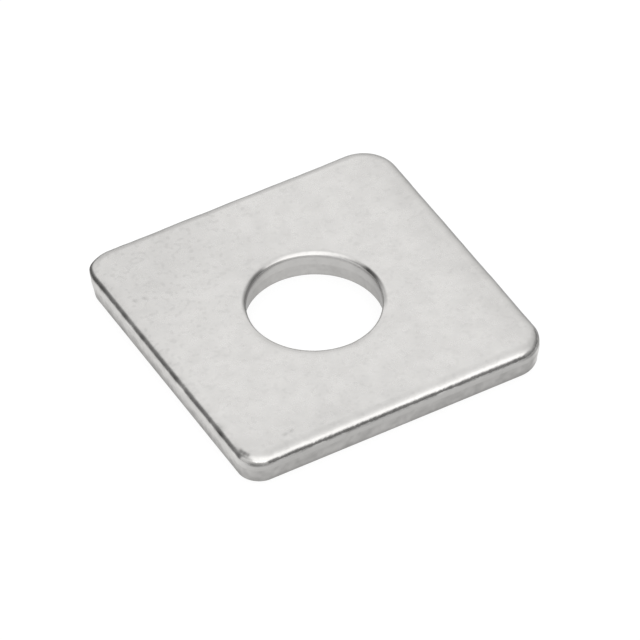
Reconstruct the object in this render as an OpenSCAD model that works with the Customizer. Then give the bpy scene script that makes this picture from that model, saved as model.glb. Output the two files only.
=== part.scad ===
// Square plate washer blanked and pierced from thick sheet steel.
// The top edges of the outline and of the bolt hole are rolled over by the die.
// Below each roll comes a short upright land, then a broken wall that leans away from the tool.

/* [Plate] */
// Side length, measured over the upright lands
side = 25.4; // [20:0.1:40]
// Thickness from the bottom face to the top face
thickness = 2.28; // [1.8:0.02:4]

/* [Corners] */
// Plan radius of the corner at +X +Y
corner_r_back_right = 2.75; // [1.6:0.05:5]
// Plan radius of the corner at -X +Y
corner_r_back_left = 2.4; // [1.6:0.05:5]
// Plan radius of the corner at -X -Y
corner_r_front_left = 1.85; // [1.6:0.05:5]
// Plan radius of the corner at +X -Y
corner_r_front_right = 2.55; // [1.6:0.05:5]

/* [Outer edge] */
// Radius of the wide arc that takes the top face down towards the edge
crown_r = 2; // [1:0.1:4]
// Angle that the wide arc turns through
crown_turn = 25; // [10:1:28]
// Radius of the tight arc that takes the roll into the wall
edge_r = 0.65; // [0.2:0.05:0.8]
// Height of the upright land under the roll
edge_land = 0.25; // [0.1:0.05:0.6]
// Distance that the wall leans in between the land and the bottom face
edge_lean = 0.17; // [0.04:0.01:0.3]
// Radius of the bottom edge
edge_foot_r = 0.15; // [0.05:0.01:0.3]

/* [Bolt hole] */
// Diameter of the hole at its upright land
bore_d = 10; // [6:0.02:14]
// Radius of the wide arc that takes the top face down into the hole
bore_crown_r = 1; // [0.5:0.05:1.5]
// Angle that the wide arc turns through
bore_crown_turn = 28; // [10:1:35]
// Radius of the tight arc that takes the roll into the hole
bore_edge_r = 0.3; // [0.06:0.01:0.45]
// Height of the upright land in the hole
bore_land = 0.7; // [0.3:0.05:1]
// Distance that the wall of the hole opens between the land and the bottom face
bore_lean = 0.18; // [0.04:0.01:0.4]
// Radius of the bottom edge of the hole
bore_foot_r = 0.08; // [0.04:0.01:0.2]

/* [Hidden] */
$fa = 4;
$fs = 0.08;
corner_rs = [corner_r_back_right, corner_r_back_left, corner_r_front_left, corner_r_front_right];
collar_r = bore_d / 2 + bore_lean + 1.5;
lap = 0.1;
proud = 0.0002;
steel = [0.7, 0.69, 0.675];

// Rounds a length to a tenth of a micrometre, so that neighbouring pieces get the same figure
function fine(x) = round(x * 10000) / 10000;

// Section of the plate from x = 0 out to a blanked edge at x = reach:
// top face, two-arc roll, upright land, leaning wall, rounded foot, bottom face.
// Each round stands a hair proud of the faces that it joins, so that it crosses them and is trimmed there.
module edge_section(reach, wide_r, turn, tight_r, land, lean, foot_r) {
  roll_in = fine(tight_r + (wide_r - tight_r) * sin(turn));
  roll_down = fine(wide_r - (wide_r - tight_r) * cos(turn));
  land_top = thickness - roll_down;
  land_foot = land_top - land;
  tilt = atan(lean / land_foot);
  foot_in = fine(lean + foot_r * tan((90 - tilt) / 2));
  foot_top = fine(foot_r - foot_r * sin(tilt));
  past_x = fine((tight_r + wide_r) * sin(turn));
  past_z = fine((tight_r + wide_r) * cos(turn));
  intersection() {
    polygon([
      [0, 0],
      [reach - lean, 0],
      [reach, land_foot],
      [reach, thickness],
      [0, thickness]
    ]);
    union() {
      translate([0, -lap])
        square([reach - roll_in, thickness + 2 * lap]);
      translate([0, -lap])
        square([reach - foot_in, land_top + lap]);
      translate([0, foot_top])
        square([reach + lap, land_top - foot_top]);
      translate([reach - foot_in, foot_r])
        circle(foot_r + proud);
      translate([reach - tight_r, land_top])
        circle(tight_r + 2 * proud);
      intersection() {
        translate([reach - roll_in, thickness - wide_r])
          circle(wide_r + proud);
        polygon([
          [reach - roll_in - lap, land_top - lap],
          [reach - tight_r, land_top - lap],
          [reach - tight_r, land_top],
          [reach - tight_r + past_x, land_top + past_z],
          [reach - roll_in - lap, land_top + past_z]
        ]);
      }
    }
  }
}

// Section of the outer edge
module outer_section(reach) {
  edge_section(reach, crown_r, crown_turn, edge_r, edge_land, edge_lean, edge_foot_r);
}

// Bar along Y with two blanked edges, longer than the plate
module bar() {
  rotate([90, 0, 0])
    linear_extrude(height = side + 2, center = true) {
      outer_section(side / 2);
      mirror([1, 0])
        outer_section(side / 2);
    }
}

// Quarter post that carries the edge section round one corner
module corner_post(r) {
  translate([side / 2 - r, side / 2 - r])
    rotate_extrude(angle = 90)
      outer_section(r);
}

// Block that clears the room of one corner post
module corner_room(r) {
  translate([side / 2 - r, side / 2 - r, -1])
    cube([r + 1, r + 1, thickness + 2]);
}

// Plate with its four edges and four corners, without the hole
module blank() {
  difference() {
    intersection() {
      bar();
      rotate(90)
        bar();
    }
    for (i = [0 : 3])
      rotate(90 * i)
        corner_room(corner_rs[i]);
  }
  for (i = [0 : 3])
    rotate(90 * i)
      corner_post(corner_rs[i]);
}

// Collar that carries the edge section round the hole
module bore_collar() {
  rotate_extrude()
    translate([collar_r, 0])
      mirror([1, 0])
        edge_section(collar_r - bore_d / 2, bore_crown_r, bore_crown_turn, bore_edge_r,
          bore_land, bore_lean, bore_foot_r);
}

// The washer, resting on its bottom face with the hole on the Z axis
module square_washer() {
  color(steel) {
    difference() {
      blank();
      translate([0, 0, -1])
        cylinder(r = collar_r, h = thickness + 2);
    }
    bore_collar();
  }
}

square_washer();
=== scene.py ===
import math
from collections import namedtuple
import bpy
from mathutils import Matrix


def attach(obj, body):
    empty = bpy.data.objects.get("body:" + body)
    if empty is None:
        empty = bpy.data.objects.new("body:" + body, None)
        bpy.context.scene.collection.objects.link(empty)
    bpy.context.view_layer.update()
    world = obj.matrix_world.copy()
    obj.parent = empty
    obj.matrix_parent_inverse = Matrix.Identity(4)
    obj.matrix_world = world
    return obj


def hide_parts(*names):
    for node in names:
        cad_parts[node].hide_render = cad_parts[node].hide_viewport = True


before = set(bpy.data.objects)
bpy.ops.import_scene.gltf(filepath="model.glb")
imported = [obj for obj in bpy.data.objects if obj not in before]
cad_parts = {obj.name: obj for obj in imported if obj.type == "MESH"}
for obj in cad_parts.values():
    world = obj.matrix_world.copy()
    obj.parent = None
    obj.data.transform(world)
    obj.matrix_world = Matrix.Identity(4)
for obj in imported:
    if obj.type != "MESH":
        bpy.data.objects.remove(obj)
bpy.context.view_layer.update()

from types import SimpleNamespace

import bpy
import numpy as np
from mathutils import Matrix, Vector

MM = 0.001
UPRIGHT = math.pi / 2

# Sizes of the washer in millimetres, as in the part's source
Edge = namedtuple("Edge", "crown_r turn edge_r land lean foot_r")
SIDE, THICK, BORE_R = 25.4, 2.28, 5.0
NEAR_EDGE = Edge(crown_r=2.0, turn=math.radians(25), edge_r=0.65, land=0.25, lean=0.17, foot_r=0.15)
BORE_EDGE = Edge(crown_r=1.0, turn=math.radians(28), edge_r=0.3, land=0.7, lean=0.18, foot_r=0.08)
# The two far edges of the real blank are rolled less
FAR_EDGE = NEAR_EDGE._replace(turn=math.radians(18), edge_r=0.5)
FAR_EDGE_FACING = (-0.3, 0.4)

# Corners in the order of the columns: far, left, nose (nearest to the camera) and tip (right)
LEFT, NOSE, TIP = 1, 2, 3
CORNER_R = (2.75, 2.4, 1.85, 2.55)
CORNER_SIGNS = ((1, 1), (-1, 1), (-1, -1), (1, -1))

# Mesh: columns on each corner and each straight side, rows across each zone of the section
Rows = namedtuple("Rows", "crown tight land wall foot")
CORNER_COLUMNS, SIDE_COLUMNS = 44, 124
COLUMNS = 4 * (CORNER_COLUMNS + SIDE_COLUMNS)
EDGE_ROWS = Rows(crown=12, tight=12, land=5, wall=14, foot=4)
BORE_ROWS = Rows(crown=9, tight=8, land=7, wall=12, foot=3)
BOTTOM_ROWS, TOP_ROWS = 6, 50

# Camera: degrees and millimetres, with the clipping in metres
AIM = (0.147, -0.554, 0.710)
AZIMUTH, ELEVATION, CAMERA_ROLL = -29.27, 43.67, -0.93
DISTANCE, LENS, SENSOR = 580.6, 445.74, 36.0
CLIP_NEAR, CLIP_FAR = 0.01, 10.0
# Level directions away from the photo's camera and to its right
BEHIND = (-math.sin(math.radians(AZIMUTH)), math.cos(math.radians(AZIMUTH)), 0.0)
ACROSS = (math.cos(math.radians(AZIMUTH)), math.sin(math.radians(AZIMUTH)), 0.0)

# Wear of this one piece, in millimetres
# Extra lean of the wall at each corner, growing downwards
CORNER_LEAN, CORNER_LEAN_TOP = (0.0, 0.12, 0.02, 0.0), 1.5
# Swell of the pressed roll at the left corner; its middle and width are shares of the corner
SWELL, SWELL_MIDDLE, SWELL_WIDTH = 0.15, 0.6, 0.22
SWELL_FOOT, SWELL_RISE = 1.5, 0.35
# Pits in the face and the nick at the nose: x, y, radius, depth
PITS = (
    (-11.32, 6.67, 0.13, 0.02),
    (-10.56, 6.54, 0.12, 0.02),
    (-8.74, -11.03, 0.12, 0.02),
    (-8.19, -10.94, 0.11, 0.02),
)
NICK = (
    (-12.28, -10.7, 0.12, 0.006),
    (-12.26, -10.9, 0.12, 0.01),
    (-12.19, -11.13, 0.12, 0.01),
    (-12.07, -11.38, 0.12, 0.008),
)
MARKS_ABOVE = 1.6
# Noises: strength, width of a feature, seed, and how much a step upwards counts
Noise = namedtuple("Noise", "strength cell seed upwards")
DENTS = (Noise(0.004, 0.9, 1, 1), Noise(0.0025, 0.42, 2, 1))
WANDER = (Noise(0.016, 2.1, 3, 0.2), Noise(0.009, 0.7, 4, 0.2))
STREAKS = (Noise(0.010, 0.2, 5, 0.15), Noise(0.012, 0.5, 6, 1))
BORE_WANDER, LAND_STREAKS = 0.7, 0.3
# How far dents may stand above the face
PROUD = 0.01
# Integer hash behind the noises
HASH_PRIMES, HASH_SEED = (73856093, 19349663, 83492791), 2654435761
HASH_ROUNDS, HASH_LAST_SHIFT = ((15, 2246822519), (13, 3266489917)), 16
WORD, HALF_WORD = 0xFFFFFFFF, 0xFFFF

# Tones are shares of the recorded colour; many are painted light and shade. A fade is (none at, full at), a
# band (start, full, fade, end).
# They are in millimetres on the face and walls, in degrees turned from the face on the rolls and the foot,
# in parts of the radius round the hole, and in parts of the plan normal for a facing or a swing.

# Face: painted shade at the left, at the right edge, in front and at the near rim of the hole; darker also
# in one patch
LEFT_SHADE, LEFT_FADE = 0.065, (6.5, 12.5)
RIGHT_SHADE, RIGHT_FADE = 0.07, (9.0, 11.6)
FRONT_SHADE, FRONT_FADE, FRONT_SPAN = 0.045, (-8.5, -11), (5, -5)
PATCH_SHADE, PATCH_X, PATCH_Y, PATCH_SPREAD = 0.035, -2.3, 6.2, 6
RIM_SHADE, RIM_ROUND_FADE, RIM_FADE = 0.06, (0.1, 0.6), (5.85, 5.63)
# Painted shade in the pits and the nick, and how far it spreads
PIT_DARK, NICK_DARK, MARK_SPREAD = 0.26, 0.48, 0.024

# Outer wall at the land, at the top of the torn part and at the foot, the foot darker with painted shade:
# tone on the right edges, painted light gained on the left edges, loss to painted shade at the nose, painted
# light gained at the tip
Wall = namedtuple("Wall", "tone left nose tip")
LAND = Wall(tone=0.67, left=0.25, nose=0.05, tip=0.3)
HIGH = Wall(tone=0.665, left=0.25, nose=0.05, tip=0.34)
FOOT = Wall(tone=0.57, left=0.1, nose=0.0, tip=0.32)
TIP_FACING = (0.72, 0.98)
# Heights where the torn wall starts to take the foot's painted shade and where it has it, and gains on the
# left edges
TORN_START, TORN_START_LEFT = 0.5, 0.9
TORN_END, TORN_END_LEFT = 0.18, 0.07
TORN, BORE_TORN = (Noise(0.11, 0.3, 7, 0.8), Noise(0.06, 0.9, 8, 1)), 0.4
# Painted light on the lower curve of the foot and underneath
FOOT_GLOW, FOOT_GLOW_FADE = 0.3, (100, 130)

# Wall of the hole: painted shade on its flanks, at its foot and, on the flanks, at the top of its land
HOLLOW, HOLLOW_FLANK_SHADE, FLANK_FADE = 0.775, 0.06, (0.45, 0.95)
HOLLOW_FOOT_SHADE, HOLLOW_FOOT_FADE = 0.06, (0.3, 0.1)
FLANK_DARK_RIGHT, FLANK_DARK_LEFT, FLANK_DARK_FADE = 0.06, 0.2, (1.65, 1.9)

# Outer roll: fade into the land's tone, and a painted highlight line, which is brightest in front
ROLL_LAND_FADE = (50, 76)
ROLL_HIGHLIGHT, FRONT_HIGHLIGHT, TIP_HIGHLIGHT_LOSS = 0.05, 0.17, 0.7
FRONT_FACING, HIGHLIGHT_BAND = (0.4, 0.8), (16, 26, 40, 52)
# Painted dark reflection line along the left edges, weaker from the nose on and at the left corner
LEFT_LINE, LEFT_LINE_UNEVEN, LEFT_LINE_BAND = 0.63, 0.22, (22, 39, 57, 70)
LEFT_LINE_NOSE_LOSS, LEFT_LINE_NOSE_SWING, LEFT_LINE_CORNER_LOSS = 0.85, (-0.98, -0.7), 0.45
# Noise that makes this line uneven, and painted dashes of shade and light from the same noise on every edge
UNEVEN = (Noise(0.8, 0.55, 9, 0.4), Noise(0.8, 1.4, 10, 0.4))
DASHES, DASH_BAND = 0.14, (36, 48, 70, 86)
# Painted dark reflection lines at the nose and the tip, painted shade above the tip's and on the swell
NOSE_LINE, NOSE_SWING, NOSE_BAND = 0.36, (-0.4, 0.05), (46, 58, 66, 80)
TIP_SHADE, TIP_SHADE_BAND = 0.13, (12, 24, 46, 60)
TIP_LINE, TIP_LINE_BAND = 0.42, (42, 55, 72, 86)
SWELL_DARK, SWELL_BAND = 0.3, (14, 32, 60, 78)
# Painted dark reflection on the rolls that face away, towards the outline, starting later where they also
# face right
FAR_FACING, FAR_RIGHT_FACING = (-0.1, 0.45), (0.0, 0.8)
FAR_DARK, FAR_START, FAR_START_RIGHT, FAR_FULL, FAR_FULL_RIGHT = 0.2, 3, 4, 13, 8
FAR_RIGHT_DARK, FAR_RIGHT_FADE = 0.05, (1, 8)
FAR_LOW_DARK, FAR_LOW_FADE = 0.14, (24, 46)

# Roll of the hole: fade into the land's tone, which starts earlier on the flanks
BORE_LAND_START, BORE_LAND_FLANK, BORE_LAND_SPAN = 55, 22, 35
# Its far side has a painted highlight towards the camera, between shoulders of painted shade
BORE_HIGHLIGHT, BORE_HIGHLIGHT_FACING, BORE_HIGHLIGHT_BAND = 0.24, (0.7, 0.95), (12, 22, 36, 48)
BORE_SHOULDER, BORE_SHOULDER_FACING = 0.08, (0.3, 0.6)
# Its near side has painted shade where it leaves the face, less further down
NEAR_RIM, NEAR_RIM_FACING = 0.06, (0.2, 0.8)
NEAR_RIM_DARK, NEAR_RIM_DARK_FADE = 0.08, (0, 8)
NEAR_RIM_LIGHT, NEAR_RIM_LIGHT_FADE = 0.13, (13, 28)
# Its flanks carry a painted dark reflection line, which starts higher on the right
FLANK_LINE_RIGHT, FLANK_LINE_LEFT, FLANK_LINE_BAND, FLANK_LINE_LEAD_RIGHT = 0.78, 0.66, (16, 27, 40, 58), 4
FLANK_LINE_SIDE_FADE, FLANK_LINE_FACING = (0.66, 0.78), (0.25, -0.1)
FLANK_LINE_END_LOSS, FLANK_LINE_END_FADE = 0.42, (0.86, 1.0)

# Roughness, strength of the grain and darkness of the specks on each zone
FACE_ROUGH, LAND_ROUGH, WALL_ROUGH = 0.26, 0.38, 0.5
ROLL_ROUGH, ROLL_ROUGH_GAIN = 0.2, 0.15
BORE_ROUGH_GAIN, BORE_ROUGH_FADE = 0.28, (34, 56)
FACE_RELIEF, WALL_RELIEF = 0.14, 0.35
ROLL_RELIEF, ROLL_RELIEF_FADE = 0.7, (28, 46)
BORE_RELIEF, BORE_RELIEF_FADE = 0.2, (20, 40)
SPOTS, LEFT_SPOTS, LEFT_SPOTS_FADE = 0.045, 0.03, (4, 10)

# Plating: recorded colour, noises per millimetre for mottle, specks and grain, the grain's depth in metres
STEEL = (0.7, 0.69, 0.675)
FINE_SCALE, FINE_DETAIL, FINE_ROUGHNESS, FINE_SHARE = 1.6, 3.0, 0.6, 0.5
CLOUD_SCALE, CLOUD_DETAIL, CLOUD_SHARE = 0.75, 1.0, 0.6
MOTTLE_NOISE, MOTTLE = (0.41, 0.69), (0.98, 1.05)
SPECK_SCALE, SPECK_NOISE = 2.9, (0.55, 0.78)
GRAIN_SCALE, GRAIN_DETAIL, GRAIN_DEPTH = 3.6, 1.0, 0.000022
WAVE_SCALE, WAVE_SHARE = 1.5, 1.5
ROUGH_NOISE, ROUGH_SPREAD = (0.3, 0.7), (-0.03, 0.03)

# Floor in metres; the lift makes it read white
FLOOR_HALF, FLOOR_Z = 1.5, -1e-5
FLOOR_COLOUR, FLOOR_LIFT = (0.22, 0.22, 0.22, 1), 0.86
WHITE, WHITE_LEVEL = (1, 1, 1, 1), 1.0

# Light levels of the room, where 1 is white
BACKDROP, OVERHEAD, PANELS, ROOM = 0.81, 1.02, 0.49, 0.2
# The backdrop and the overhead light meet on a slanting line of the ceiling
LEAST_HEIGHT, SLANT, SLANT_RANGE = 0.01, 0.33, (-0.54, 0.35)
BACKDROP_EDGE, OVERHEAD_EDGE = (0.22, 0.4), (0.44, 0.14)
# The backdrop ends at the left by its part across, at the right by its bearing and at the foot by height
BACKDROP_LEFT, BACKDROP_RIGHT, BACKDROP_FOOT = (-0.91, -0.63), np.radians((95, 75)), (-0.15, 0.3)
# The backdrop is dim at its lower right, and a little dimmer towards the overhead light
DIM_BEARING, DIM_HEIGHT, DIM_LEVEL = np.radians((20, 42)), (0.8, 0.3), 0.2
SHEEN_SKEW, SHEEN_RANGE, SHEEN_LEVELS = 0.3, (0.4, 0.85), (0.88, 1.0)
OVERHEAD_NEAR, OVERHEAD_SIDES = (-1.2, -0.85), (-0.8, -0.1, 0.6, 1.25)
# Upright panels in front, at the far left and at the right: share, and band of angles left of the camera
PANEL_BANDS = (
    (1.0, np.radians((-43, -33, 82, 94))),
    (0.45, np.radians((88, 98, 112, 130))),
    (0.5, np.radians((-108, -96, -70, -62))),
)
PANEL_HEIGHT = (0.0, 0.12, 0.75, 0.9)


def blend(value, low, high):
    """Smooth step from 0 at low to 1 at high."""
    t = np.clip((value - low) / (high - low), 0, 1)
    return t * t * (3 - 2 * t)


def band(value, start, full, fade, end):
    """Smooth rise from start to full, and smooth fall from fade to end."""
    return blend(value, start, full) * blend(value, end, fade)


def hashed(cells, seed):
    """Value from -1 to 1 for each whole-numbered cell."""
    parts = [cells[:, k] * np.uint64(prime) for k, prime in enumerate(HASH_PRIMES)]
    h = parts[0] ^ parts[1] ^ parts[2]
    h = (h + np.uint64(seed * HASH_SEED)) & np.uint64(WORD)
    for shift, factor in HASH_ROUNDS:
        h = (h ^ (h >> np.uint64(shift))) * np.uint64(factor) & np.uint64(WORD)
    h = h ^ (h >> np.uint64(HASH_LAST_SHIFT))
    return (h & np.uint64(HALF_WORD)).astype(float) / (HALF_WORD / 2) - 1


def lattice_noise(points, cell, seed):
    """Smooth noise from -1 to 1 at points, with features about one cell wide."""
    p = points / cell
    base = np.floor(p).astype(np.int64)
    f = p - base
    f = f * f * (3 - 2 * f)
    total = np.zeros(len(p))
    for corner in range(8):
        step = np.array([(corner >> k) & 1 for k in range(3)])
        total += hashed((base + step).astype(np.uint64), seed) * np.prod(np.where(step, f, 1 - f), axis=1)
    return total


def layered(points, noises):
    """Sum of several noises at points."""
    return sum(n.strength * lattice_noise(points * [1, 1, n.upwards], n.cell, n.seed) for n in noises)


def outline():
    """Plan points of the upright land, their outward normals, and how far each lies into each corner."""
    points, normals, shares = [], [], np.zeros((4, COLUMNS))
    for k in range(4):
        r, r_next = CORNER_R[k], CORNER_R[(k + 1) % 4]
        centre = np.array(CORNER_SIGNS[k]) * (SIDE / 2 - r)
        next_centre = np.array(CORNER_SIGNS[(k + 1) % 4]) * (SIDE / 2 - r_next)
        for j in range(CORNER_COLUMNS):
            angle = (k + j / CORNER_COLUMNS) * math.pi / 2
            n = np.array([math.cos(angle), math.sin(angle)])
            shares[k, len(points)] = math.sin(math.pi * j / CORNER_COLUMNS)
            points.append(centre + r * n)
            normals.append(n)
        angle = (k + 1) * math.pi / 2
        n = np.array([round(math.cos(angle)), round(math.sin(angle))], float)
        start, end = centre + r * n, next_centre + r_next * n
        for j in range(SIDE_COLUMNS):
            points.append(start + (end - start) * j / SIDE_COLUMNS)
            normals.append(n)
    return np.array(points), np.array(normals), shares


def section(edge, rows):
    """Rows of one edge from the face down to the foot: inset, height, normal's tilt, zone."""
    crown_r, turn, edge_r, land, lean, foot_r = edge
    roll_in = edge_r + (crown_r - edge_r) * math.sin(turn)
    land_top = THICK - (crown_r - (crown_r - edge_r) * math.cos(turn))
    land_foot = land_top - land
    tilt = math.atan(lean / land_foot)
    foot_in = lean + foot_r * math.tan((UPRIGHT - tilt) / 2)
    foot_top = foot_r - foot_r * math.sin(tilt)
    out = []
    for j in range(rows.crown):
        a = turn * j / rows.crown
        out.append((roll_in - crown_r * math.sin(a), THICK - crown_r * (1 - math.cos(a)), a, "roll"))
    for j in range(rows.tight):
        a = turn + (UPRIGHT - turn) * j / rows.tight
        out.append((edge_r - edge_r * math.sin(a), land_top + edge_r * math.cos(a), a, "roll"))
    for j in range(rows.land):
        out.append((0.0, land_top - land * j / rows.land, UPRIGHT, "land"))
    for j in range(rows.wall):
        z = land_foot + (foot_top - land_foot) * j / rows.wall
        out.append((lean * (land_foot - z) / land_foot, z, UPRIGHT + tilt, "wall"))
    for j in range(rows.foot + 1):
        a = UPRIGHT + tilt + (UPRIGHT - tilt) * j / rows.foot
        out.append((foot_in - foot_r * math.sin(a), foot_r + foot_r * math.cos(a), a, "foot"))
    return out


def left_swell():
    """Swell of the roll in each column, at the left corner only."""
    swell = np.zeros(COLUMNS)
    first = LEFT * (CORNER_COLUMNS + SIDE_COLUMNS)
    along = np.linspace(0, 1, CORNER_COLUMNS)
    swell[first:first + CORNER_COLUMNS] = SWELL * np.exp(-((along - SWELL_MIDDLE) / SWELL_WIDTH) ** 2)
    return swell


def ring(xy, z, n_plan, tilt, zone):
    """One closed ring of the surface: points, normals, plan normals, zone."""
    z, tilt = (np.broadcast_to(value, COLUMNS)[:, None] for value in (z, tilt))
    return np.hstack([xy, z]), np.hstack([n_plan * np.sin(tilt), np.cos(tilt)]), n_plan, zone


def rings(swell):
    """Rings down the outer edge, under the plate, up the hole and over the face, and the corner shares."""
    plan, normal, shares = outline()
    radial = plan / np.linalg.norm(plan, axis=1)[:, None]
    far = blend(normal @ np.array(BEHIND[:2]), *FAR_EDGE_FACING)
    corner_lean = sum(extra * share for extra, share in zip(CORNER_LEAN, shares))
    made = []
    for near_row, far_row in zip(section(NEAR_EDGE, EDGE_ROWS), section(FAR_EDGE, EDGE_ROWS)):
        inset, z, tilt = (p + (q - p) * far for p, q in zip(near_row[:3], far_row[:3]))
        zone = near_row[3]
        if zone in ("wall", "foot"):
            inset = inset + corner_lean * np.clip(1 - z / CORNER_LEAN_TOP, 0, 1)
        else:
            inset = inset - swell * np.clip((z - SWELL_FOOT) / SWELL_RISE, 0, 1)
        made.append(ring(plan - normal * inset[:, None], z, normal, tilt, "outer_" + zone))
    outer_top, outer_foot = made[0][0][:, :2], made[-1][0][:, :2]
    bore = section(BORE_EDGE, BORE_ROWS)
    bore_top, bore_foot = (radial * (BORE_R + row[0]) for row in (bore[0], bore[-1]))
    for j in range(1, BOTTOM_ROWS):
        w = j / BOTTOM_ROWS
        made.append(ring(outer_foot * (1 - w) + bore_foot * w, 0.0, normal, math.pi, "bottom"))
    for inset, z, tilt, zone in reversed(bore):
        made.append(ring(radial * (BORE_R + inset), z, -radial, tilt, "bore_" + zone))
    for j in range(1, TOP_ROWS):
        w = j / TOP_ROWS
        made.append(ring(bore_top * (1 - w) + outer_top * w, THICK, normal, 0.0, "top"))
    return made, shares


def wear(verts, tilt, on):
    """How far each point is pushed along its normal by dents, wander of the rolls, streaks and marks."""
    push = np.where(on.top | on.roll | on.bore_roll, layered(verts, DENTS), 0.0)
    wander = np.where(on.bore_roll, BORE_WANDER, 1) * layered(verts, WANDER)
    push += np.where(on.roll | on.bore_roll, wander * np.sin(2 * np.minimum(tilt, UPRIGHT)), 0.0)
    streaks = layered(verts, STREAKS)
    push += np.where(on.wall, streaks, 0.0) + np.where(on.land, LAND_STREAKS * streaks, 0.0)
    for x, y, r, depth in PITS + NICK:
        d2 = (verts[:, 0] - x) ** 2 + (verts[:, 1] - y) ** 2
        push -= np.where(verts[:, 2] > MARKS_ABOVE, depth * np.exp(-d2 / (r * r)), 0.0)
    return push


def washer_surface():
    """The worn surface: its points, their zones, and how each lies to the photo's camera."""
    swell = left_swell()
    made, shares = rings(swell)
    verts, norms, plan_norms = (np.vstack([one[k] for one in made]) for k in range(3))
    zones = np.repeat([one[3] for one in made], COLUMNS)
    on = SimpleNamespace(
        top=zones == "top",
        roll=zones == "outer_roll",
        bore_roll=zones == "bore_roll",
        land=(zones == "outer_land") | (zones == "bore_land"),
        wall=(zones == "outer_wall") | (zones == "bore_wall"),
        bore=np.char.startswith(zones, "bore"),
    )
    tilt = np.arccos(np.clip(norms[:, 2], -1, 1))
    verts = verts + norms * wear(verts, tilt, on)[:, None]
    verts[:, 2] = np.clip(verts[:, 2], 0.0, THICK + PROUD)
    x, y, z = verts.T
    plan_r = np.hypot(x, y)
    across = verts @ np.array(ACROSS)
    sideways = np.abs(across / plan_r)
    return SimpleNamespace(
        verts=verts, x=x, y=y, z=z, on=on, plan_r=plan_r, across=across, sideways=sideways,
        degrees=np.degrees(tilt),
        leftward=(y - x) / math.sqrt(2),
        flank=blend(sideways, *FLANK_FADE),
        # 1 on the two left edges, 0 on the two right ones
        turned=np.clip(0.5 + 0.5 * (norms[:, 1] - norms[:, 0]), 0, 1),
        # How far the plan normal points away from the camera, to its right, and along X less Y
        away=plan_norms @ np.array(BEHIND[:2]),
        rightward=plan_norms @ np.array(ACROSS[:2]),
        swing=plan_norms[:, 0] - plan_norms[:, 1],
        left=np.tile(shares[LEFT], len(made)),
        nose=np.tile(shares[NOSE], len(made)),
        tip=np.tile(shares[TIP], len(made)),
        swell=np.tile(swell, len(made)) / SWELL,
    )


def face_tone(s):
    """Tone of the face with its painted shade, without its rim and its marks."""
    tone = 1 - LEFT_SHADE * blend(s.leftward, *LEFT_FADE) - RIGHT_SHADE * blend(s.x, *RIGHT_FADE)
    front = FRONT_SHADE * blend(s.y, *FRONT_FADE) * blend(s.x, *FRONT_SPAN)
    patch = PATCH_SHADE * np.exp(-((s.x - PATCH_X) ** 2 + (s.y - PATCH_Y) ** 2) / PATCH_SPREAD)
    return tone - (front + patch)


def rim_shade(s):
    """Painted shade on the face along the near rim of the hole."""
    nearness = -(s.verts @ np.array(BEHIND)) / s.plan_r
    return RIM_SHADE * blend(nearness, *RIM_ROUND_FADE) * blend(s.plan_r, *RIM_FADE)


def mark_shade(s):
    """Painted shade in the pits and the nick."""
    shade = np.zeros(len(s.verts))
    for marks, dark in ((PITS, PIT_DARK), (NICK, NICK_DARK)):
        for x, y, *_ in marks:
            d2 = (s.x - x) ** 2 + (s.y - y) ** 2
            shade += dark * np.exp(-d2 / MARK_SPREAD)
    return np.where(s.z > MARKS_ABOVE, shade, 0.0)


def wall_tones(s):
    """Tones of the land, of the top of the torn wall and of the foot, outside and in the hole, with painted
    light and shade.
    """
    # Painted shade in the hole: at its foot, on its flanks and at the top of the flanks' land
    foot_loss = 1 - HOLLOW_FOOT_SHADE * blend(s.z, *HOLLOW_FOOT_FADE)
    hollow = (HOLLOW - HOLLOW_FLANK_SHADE * s.flank) * foot_loss
    flank_dark = np.where(s.across > 0, FLANK_DARK_RIGHT, FLANK_DARK_LEFT) * s.flank
    bore_land = hollow - flank_dark * blend(s.z, *FLANK_DARK_FADE)
    # Painted light at the tip and on the left edges, painted shade at the nose and at the foot
    lit_tip = s.tip * blend(s.rightward, *TIP_FACING)
    return [np.where(s.on.bore, inside, w.tone + w.left * s.turned - w.nose * s.nose + w.tip * lit_tip)
            for inside, w in ((bore_land, LAND), (hollow, HIGH), (hollow, FOOT))]


def torn_tone(s, high, foot):
    """Tone of the torn wall, with painted shade towards the foot and with its breaks."""
    start = TORN_START + TORN_START_LEFT * s.turned
    end = TORN_END + TORN_END_LEFT * s.turned
    breaks = np.where(s.on.bore, BORE_TORN, 1) * layered(s.verts, TORN)
    return (high + (foot - high) * blend(s.z, start, end)) * (1 + breaks)


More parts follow.
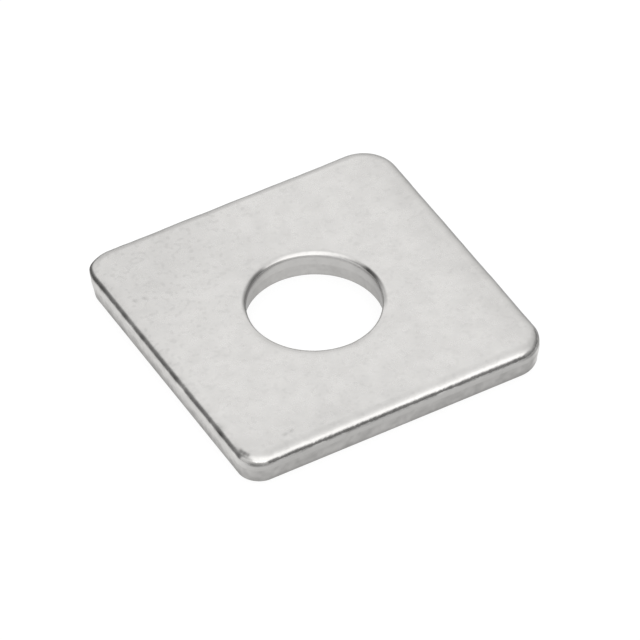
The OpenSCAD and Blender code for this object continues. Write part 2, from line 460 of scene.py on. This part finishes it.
def roll_tone(s, face, land):
    """Tone of the outer roll: painted highlight line, painted dark reflection lines and dark towards the far
    outline, painted shade in the marks and on the swell.
    """
    tone = face + (land - face) * blend(s.degrees, *ROLL_LAND_FADE)
    # Painted highlight along the roll, strongest in front
    highlight = ROLL_HIGHLIGHT + FRONT_HIGHLIGHT * blend(-s.away, *FRONT_FACING) * (1 - TIP_HIGHLIGHT_LOSS * s.tip)
    tone *= 1 + highlight * band(s.degrees, *HIGHLIGHT_BAND)
    # Painted dark reflection line along the left edges, with uneven painted dashes on every edge
    uneven = layered(s.verts, UNEVEN)
    extent = 1 - LEFT_LINE_NOSE_LOSS * blend(s.swing, *LEFT_LINE_NOSE_SWING) - LEFT_LINE_CORNER_LOSS * s.left
    tone *= 1 - (LEFT_LINE + LEFT_LINE_UNEVEN * uneven) * s.turned * extent * band(s.degrees, *LEFT_LINE_BAND)
    tone *= 1 - DASHES * uneven * band(s.degrees, *DASH_BAND)
    # Painted dark reflection lines at the nose and the tip, with painted shade above the tip's
    tone -= NOSE_LINE * s.nose * blend(s.swing, *NOSE_SWING) * band(s.degrees, *NOSE_BAND)
    tone -= TIP_SHADE * s.tip * band(s.degrees, *TIP_SHADE_BAND)
    tone -= TIP_LINE * s.tip * band(s.degrees, *TIP_LINE_BAND)
    tone -= mark_shade(s)
    # Painted dark reflection towards the far outline
    right = blend(s.rightward, *FAR_RIGHT_FACING)
    far = FAR_DARK * blend(s.degrees, FAR_START + FAR_START_RIGHT * right, FAR_FULL + FAR_FULL_RIGHT * right)
    far += FAR_RIGHT_DARK * right * blend(s.degrees, *FAR_RIGHT_FADE)
    far += FAR_LOW_DARK * blend(s.degrees, *FAR_LOW_FADE)
    tone *= 1 - blend(s.away, *FAR_FACING) * far
    # Painted shade on the swell
    return tone * (1 - SWELL_DARK * s.swell * band(s.degrees, *SWELL_BAND))


def bore_roll_tone(s, face, land):
    """Tone of the roll of the hole: painted highlight on its far side, painted shade on its near rim,
    painted dark lines on its flanks.
    """
    start = BORE_LAND_START - BORE_LAND_FLANK * s.flank
    tone = face + (land - face) * blend(s.degrees, start, start + BORE_LAND_SPAN)
    # Painted highlight on the far side, between shoulders of painted shade
    far_highlight = BORE_HIGHLIGHT * blend(-s.away, *BORE_HIGHLIGHT_FACING) - BORE_SHOULDER
    tone *= 1 + far_highlight * blend(-s.away, *BORE_SHOULDER_FACING) * band(s.degrees, *BORE_HIGHLIGHT_BAND)
    tone -= mark_shade(s)
    # Painted shade on the near rim
    rim = NEAR_RIM + NEAR_RIM_DARK * blend(s.degrees, *NEAR_RIM_DARK_FADE)
    rim -= NEAR_RIM_LIGHT * blend(s.degrees, *NEAR_RIM_LIGHT_FADE)
    tone *= 1 - blend(s.away, *NEAR_RIM_FACING) * rim
    # Painted dark reflection lines on the flanks
    on_right = s.across > 0
    flank_line = np.where(on_right, FLANK_LINE_RIGHT, FLANK_LINE_LEFT) - FLANK_LINE_END_LOSS * blend(s.sideways, *FLANK_LINE_END_FADE)
    flank_line *= blend(s.sideways, *FLANK_LINE_SIDE_FADE) * blend(s.away, *FLANK_LINE_FACING)
    flank_line *= band(s.degrees + np.where(on_right, FLANK_LINE_LEAD_RIGHT, 0), *FLANK_LINE_BAND)
    return tone * (1 - flank_line)


def surface_tone(s):
    """Tone at each point, zone by zone, with painted light and shade."""
    face = face_tone(s)
    land, high, foot = wall_tones(s)
    # Painted light on the lower curve of the foot
    under = foot * (1 + FOOT_GLOW * blend(s.degrees, *FOOT_GLOW_FADE))
    return np.select(
        [s.on.top, s.on.roll, s.on.bore_roll, s.on.land, s.on.wall],
        [face - rim_shade(s) - mark_shade(s), roll_tone(s, face, land), bore_roll_tone(s, face, land),
         land, torn_tone(s, high, foot)],
        under)


def surface_roughness(s):
    """Roughness at each point: smooth rolls, duller land, rough torn wall and underside."""
    roll = ROLL_ROUGH + ROLL_ROUGH_GAIN * blend(s.degrees, *ROLL_LAND_FADE)
    bore_roll = ROLL_ROUGH + BORE_ROUGH_GAIN * blend(s.degrees, *BORE_ROUGH_FADE)
    return np.select([s.on.top, s.on.roll, s.on.bore_roll, s.on.land],
                     [FACE_ROUGH, roll, bore_roll, LAND_ROUGH], WALL_ROUGH)


def surface_relief(s):
    """Strength of the grain at each point."""
    roll = FACE_RELIEF + ROLL_RELIEF * blend(s.degrees, *ROLL_RELIEF_FADE)
    bore_roll = FACE_RELIEF + BORE_RELIEF * blend(s.degrees, *BORE_RELIEF_FADE)
    return np.select([s.on.top, s.on.roll, s.on.bore_roll], [FACE_RELIEF, roll, bore_roll], WALL_RELIEF)


def surface_spots(s):
    """Darkness of the specks at each point, more at the left of the face."""
    return np.where(s.on.top | s.on.roll, SPOTS + LEFT_SPOTS * blend(s.leftward, *LEFT_SPOTS_FADE), SPOTS)


def add_object(name, data):
    """Puts a mesh or camera into the scene."""
    made = bpy.data.objects.new(name, data)
    bpy.context.scene.collection.objects.link(made)
    return made


def washer_piece():
    """The washer as one closed mesh, with tone (holding painted light and shade), roughness, relief and
    specks as attributes.
    """
    s = washer_surface()
    index = np.arange(len(s.verts)).reshape(-1, COLUMNS)
    down = np.roll(index, -1, axis=0)
    quads = np.stack([index, np.roll(index, -1, axis=1), np.roll(down, -1, axis=1), down], axis=-1)
    quads = quads.reshape(-1, 4)[:, ::-1]
    mesh = bpy.data.meshes.new("washer_plate")
    mesh.from_pydata((s.verts * MM).tolist(), [], quads.tolist())
    mesh.polygons.foreach_set("use_smooth", np.ones(len(quads), bool))
    mesh.update()
    values = {"tone": surface_tone(s), "rough": surface_roughness(s),
              "relief": surface_relief(s), "spots": surface_spots(s)}
    for name, value in values.items():
        mesh.attributes.new(name, "FLOAT", "POINT").data.foreach_set("value", value.astype(np.float32))
    return add_object("washer_plate", mesh)


class Graph:
    """Short calls that add nodes to a tree and return their sockets."""

    def __init__(self, tree):
        self.tree = tree

    def node(self, kind, inputs=None, **settings):
        """Adds a node; inputs, by name or number, are linked to a socket or set to a value."""
        made = self.tree.nodes.new(kind)
        for name, value in settings.items():
            setattr(made, name, value)
        for key, value in (inputs or {}).items():
            if isinstance(value, bpy.types.NodeSocket):
                self.tree.links.new(value, made.inputs[key])
            else:
                made.inputs[key].default_value = value
        return made

    def calc(self, operation, first, second):
        """One operation on two sockets or numbers."""
        return self.node("ShaderNodeMath", {0: first, 1: second}, operation=operation).outputs[0]

    def plus(self, first, *rest):
        """Sum of all."""
        for other in rest:
            first = self.calc("ADD", first, other)
        return first

    def times(self, first, *rest):
        """Product of all."""
        for other in rest:
            first = self.calc("MULTIPLY", first, other)
        return first

    def ramp(self, value, before, after=(0.0, 1.0), kind="SMOOTHSTEP"):
        """Maps the range before onto the range after."""
        inputs = dict(enumerate((value, *before, *after)))
        return self.node("ShaderNodeMapRange", inputs, interpolation_type=kind).outputs[0]

    def band(self, value, start, full, fade, end):
        """Smooth rise from start to full, and smooth fall from fade to end."""
        return self.times(self.ramp(value, (start, full)), self.ramp(value, (end, fade)))

    def dot(self, vector, axis):
        """Part of a vector along an axis."""
        made = self.node("ShaderNodeVectorMath", {0: vector, 1: axis}, operation="DOT_PRODUCT")
        return made.outputs["Value"]

    def scaled(self, vector, factor):
        """Vector or colour times a factor."""
        return self.node("ShaderNodeVectorMath", {0: vector, 3: factor}, operation="SCALE").outputs[0]

    def noise(self, vector, scale, detail=0.0, roughness=0.5):
        """Smooth noise from 0 to 1."""
        inputs = {"Vector": vector, "Scale": scale, "Detail": detail, "Roughness": roughness}
        return self.node("ShaderNodeTexNoise", inputs).outputs[0]

    def attribute(self, name):
        """Value that the mesh holds at each point."""
        return self.node("ShaderNodeAttribute", attribute_name=name).outputs["Fac"]


def plated_steel():
    """Pale satin plating: the recorded colour, mottled, with specks and fine grain."""
    material = bpy.data.materials.new("plated_steel")
    material.use_nodes = True
    graph = Graph(material.node_tree)
    shader = material.node_tree.nodes["Principled BSDF"]
    shader.inputs["Metallic"].default_value = 1.0
    tone, rough, relief, spots = (graph.attribute(name) for name in ("tone", "rough", "relief", "spots"))
    place = graph.scaled(graph.node("ShaderNodeTexCoord").outputs["Object"], 1 / MM)
    fine = graph.noise(place, FINE_SCALE, FINE_DETAIL, FINE_ROUGHNESS)
    cloud = graph.noise(place, CLOUD_SCALE, CLOUD_DETAIL)
    mottle = graph.plus(graph.times(fine, FINE_SHARE), graph.times(cloud, CLOUD_SHARE))
    mottle = graph.ramp(mottle, MOTTLE_NOISE, MOTTLE, "LINEAR")
    specks = graph.times(graph.ramp(graph.noise(place, SPECK_SCALE), SPECK_NOISE), spots)
    # The tone, with its painted light and shade, scales the colour and tints the reflection
    shade = graph.times(graph.calc("SUBTRACT", mottle, specks), tone)
    tint = graph.calc("MINIMUM", tone, 1.0)
    grain = graph.noise(place, GRAIN_SCALE, GRAIN_DETAIL)
    grain = graph.plus(grain, graph.times(graph.noise(place, WAVE_SCALE), WAVE_SHARE))
    bump = graph.node("ShaderNodeBump", {"Strength": relief, "Distance": GRAIN_DEPTH, "Height": grain})
    sockets = {
        "Base Color": graph.scaled(STEEL, shade),
        "Specular Tint": graph.node("ShaderNodeCombineXYZ", {0: tint, 1: tint, 2: tint}).outputs[0],
        "Roughness": graph.plus(rough, graph.ramp(fine, ROUGH_NOISE, ROUGH_SPREAD, "LINEAR")),
        "Normal": bump.outputs[0],
    }
    for name, socket in sockets.items():
        graph.tree.links.new(socket, shader.inputs[name])
    return material


def floor_piece():
    """Plain square floor, a hair under the washer."""
    mesh = bpy.data.meshes.new("floor")
    corners = [(sx * FLOOR_HALF, sy * FLOOR_HALF, FLOOR_Z) for sx, sy in CORNER_SIGNS]
    mesh.from_pydata(corners, [], [(0, 1, 2, 3)])
    return add_object("floor", mesh)


def pale_floor():
    """Pale material that keeps the shadow, and reads white to the camera and in the metal."""
    material = bpy.data.materials.new("pale_floor")
    material.use_nodes = True
    material.node_tree.nodes.clear()
    graph = Graph(material.node_tree)
    path = graph.node("ShaderNodeLightPath").outputs
    seen = graph.calc("MAXIMUM", path["Is Camera Ray"], path["Is Glossy Ray"])
    seen = graph.calc("MAXIMUM", seen, path["Is Transmission Ray"])
    diffuse = graph.node("ShaderNodeBsdfDiffuse", {"Color": FLOOR_COLOUR}).outputs[0]
    strength = graph.times(seen, FLOOR_LIFT)
    lift = graph.node("ShaderNodeEmission", {"Color": WHITE, "Strength": strength}).outputs[0]
    total = graph.node("ShaderNodeAddShader", {0: diffuse, 1: lift}).outputs[0]
    graph.node("ShaderNodeOutputMaterial", {0: total})
    return material


def ceiling_light(graph, behind, across, height):
    """White backdrop behind the washer and soft light overhead, on a plane above it."""
    ceiling = graph.calc("MAXIMUM", height, LEAST_HEIGHT)
    forth = graph.calc("DIVIDE", behind, ceiling)
    aside = graph.calc("DIVIDE", across, ceiling)
    bearing = graph.calc("ARCTAN2", across, behind)
    slant = graph.node("ShaderNodeClamp", {0: aside, 1: SLANT_RANGE[0], 2: SLANT_RANGE[1]}).outputs[0]
    line = graph.plus(forth, graph.times(slant, SLANT))
    dim = graph.times(graph.ramp(bearing, DIM_BEARING), graph.ramp(height, DIM_HEIGHT))
    dim = graph.ramp(dim, (0.0, 1.0), (1.0, DIM_LEVEL), "LINEAR")
    sheen = graph.calc("SUBTRACT", forth, graph.times(aside, SHEEN_SKEW))
    sheen = graph.ramp(sheen, SHEEN_RANGE, SHEEN_LEVELS)
    backdrop = graph.times(
        graph.ramp(line, BACKDROP_EDGE), graph.ramp(across, BACKDROP_LEFT),
        graph.ramp(bearing, BACKDROP_RIGHT), dim, graph.ramp(height, BACKDROP_FOOT), sheen, BACKDROP)
    overhead = graph.times(
        graph.ramp(line, OVERHEAD_EDGE), graph.ramp(forth, OVERHEAD_NEAR),
        graph.band(aside, *OVERHEAD_SIDES), OVERHEAD)
    return graph.plus(backdrop, overhead)


def panel_light(graph, behind, across, height):
    """Upright panels round the room."""
    around = graph.calc("ARCTAN2", graph.times(across, -1.0), graph.times(behind, -1.0))
    panels = [graph.times(graph.band(around, *angles), share) for share, angles in PANEL_BANDS]
    return graph.times(graph.plus(*panels), graph.band(height, *PANEL_HEIGHT), PANELS)


def studio():
    """Soft studio: plain white to the camera; the metal sees the lights and the dim gaps between them."""
    world = bpy.data.worlds.new("studio")
    world.use_nodes = True
    world.node_tree.nodes.clear()
    graph = Graph(world.node_tree)
    direction = graph.node("ShaderNodeTexCoord").outputs["Generated"]
    behind, across = graph.dot(direction, BEHIND), graph.dot(direction, ACROSS)
    height = graph.node("ShaderNodeSeparateXYZ", {0: direction}).outputs[2]
    ceiling = ceiling_light(graph, behind, across, height)
    level = graph.plus(ceiling, panel_light(graph, behind, across, height), ROOM)
    seen = graph.node("ShaderNodeLightPath").outputs["Is Camera Ray"]
    level = graph.node("ShaderNodeMix", {0: seen, 2: level, 3: WHITE_LEVEL}).outputs[0]
    background = graph.node("ShaderNodeBackground", {"Color": WHITE, "Strength": level}).outputs[0]
    graph.node("ShaderNodeOutputWorld", {0: background})
    return world


def photo_camera():
    """Camera at the photo's viewing angle."""
    data = bpy.data.cameras.new("camera")
    data.lens, data.sensor_width = LENS, SENSOR
    data.clip_start, data.clip_end = CLIP_NEAR, CLIP_FAR
    elevation, roll = math.radians(ELEVATION), math.radians(CAMERA_ROLL)
    level = math.cos(elevation)
    back = Vector((-BEHIND[0] * level, -BEHIND[1] * level, math.sin(elevation)))
    right = Vector(ACROSS)
    up = back.cross(right)
    x_axis = right * math.cos(roll) + up * math.sin(roll)
    y_axis = up * math.cos(roll) - right * math.sin(roll)
    place = Matrix.Translation((Vector(AIM) + back * DISTANCE) * MM)
    made = add_object("camera", data)
    made.matrix_world = place @ Matrix((x_axis, y_axis, back)).transposed().to_4x4()
    return made


washer = washer_piece()
washer.data.materials.append(plated_steel())
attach(washer, "root")
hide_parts("square_washer")

floor = floor_piece()
floor.data.materials.append(pale_floor())

bpy.context.scene.world = studio()
camera = photo_camera()
bpy.context.scene.camera = camera
bpy.context.scene.view_settings.view_transform = "Standard"
